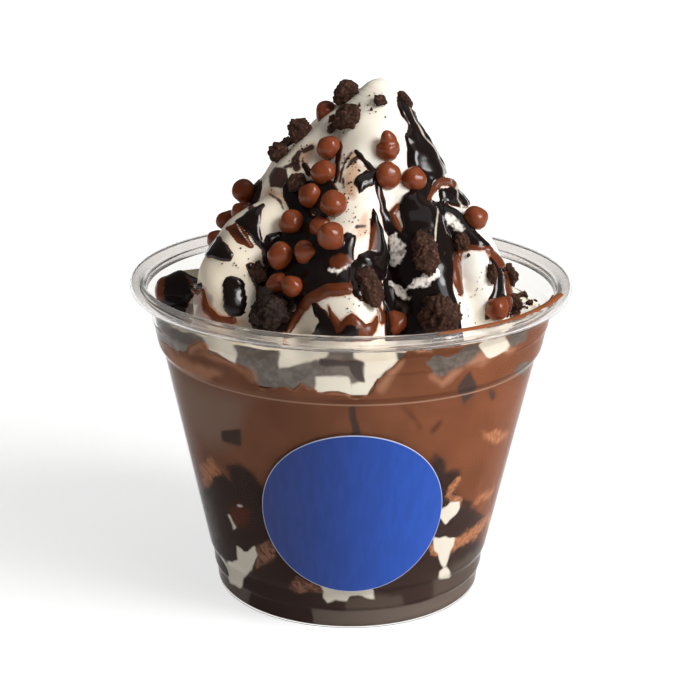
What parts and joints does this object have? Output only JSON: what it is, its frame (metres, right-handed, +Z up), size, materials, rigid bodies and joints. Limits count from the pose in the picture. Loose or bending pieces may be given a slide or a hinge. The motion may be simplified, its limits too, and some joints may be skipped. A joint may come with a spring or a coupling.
{
  "type": "ice cream cup",
  "caption": "Clear plastic cup of chocolate ice cream over fudge, under a peaked mound of soft serve with poured chocolate sauce, broken cookie and small chocolate balls.",
  "frame": {"origin": "centre of the cup's foot, on the surface that it stands on", "axes": "+Z up along the cup's axis, -Y towards the side with the label, +X to its right"},
  "size_m": [0.098, 0.098, 0.1161],
  "materials": {
    "clear_plastic": "clear, glossy, thin pressed wall",
    "label_print": "plain blue printed label with a satin face",
    "fudge": "dark, glossy, thick",
    "chocolate_ice_cream": "soft, slightly wet",
    "soft_serve": "soft satin",
    "milk_chocolate": "smooth, gently glossy",
    "dark_cookie": "matte, crumbly"
  },
  "bodies": {
    "root": {"cup": "clear_plastic", "label": "label_print", "fudge_layer": "fudge", "chocolate_layer": "chocolate_ice_cream", "soft_serve": "soft_serve", "chocolate_ball_01": "milk_chocolate", "chocolate_ball_02": "milk_chocolate", "chocolate_ball_03": "milk_chocolate", "chocolate_ball_04": "milk_chocolate", "chocolate_ball_05": "milk_chocolate", "chocolate_ball_06": "milk_chocolate", "chocolate_ball_07": "milk_chocolate", "chocolate_ball_08": "milk_chocolate", "chocolate_ball_09": "milk_chocolate", "chocolate_ball_10": "milk_chocolate", "chocolate_ball_11": "milk_chocolate", "chocolate_ball_12": "milk_chocolate", "chocolate_ball_13": "milk_chocolate", "chocolate_ball_14": "milk_chocolate", "chocolate_ball_15": "milk_chocolate", "chocolate_ball_16": "milk_chocolate", "chocolate_ball_17": "milk_chocolate", "chocolate_ball_18": "milk_chocolate", "chocolate_ball_19": "milk_chocolate", "chocolate_ball_20": "milk_chocolate", "chocolate_ball_21": "milk_chocolate", "chocolate_ball_22": "milk_chocolate", "chocolate_ball_23": "milk_chocolate", "chocolate_ball_24": "milk_chocolate", "chocolate_ball_25": "milk_chocolate", "melted_ball": "milk_chocolate", "cookie_chunk_01": "dark_cookie", "cookie_chunk_02": "dark_cookie", "cookie_chunk_03": "dark_cookie", "cookie_chunk_04": "dark_cookie", "cookie_chunk_05": "dark_cookie", "cookie_chunk_06": "dark_cookie", "cookie_chunk_07": "dark_cookie", "cookie_chunk_08": "dark_cookie", "cookie_chunk_09": "dark_cookie", "cookie_chunk_10": "dark_cookie", "cookie_chunk_11": "dark_cookie", "cookie_chunk_12": "dark_cookie", "cookie_chunk_13": "dark_cookie", "cookie_chunk_14": "dark_cookie", "cookie_chunk_15": "dark_cookie", "cookie_chunk_16": "dark_cookie", "cookie_chunk_17": "dark_cookie", "cookie_chunk_18": "dark_cookie", "cookie_chunk_19": "dark_cookie", "cookie_chunk_20": "dark_cookie"}
  },
  "joints": []
}
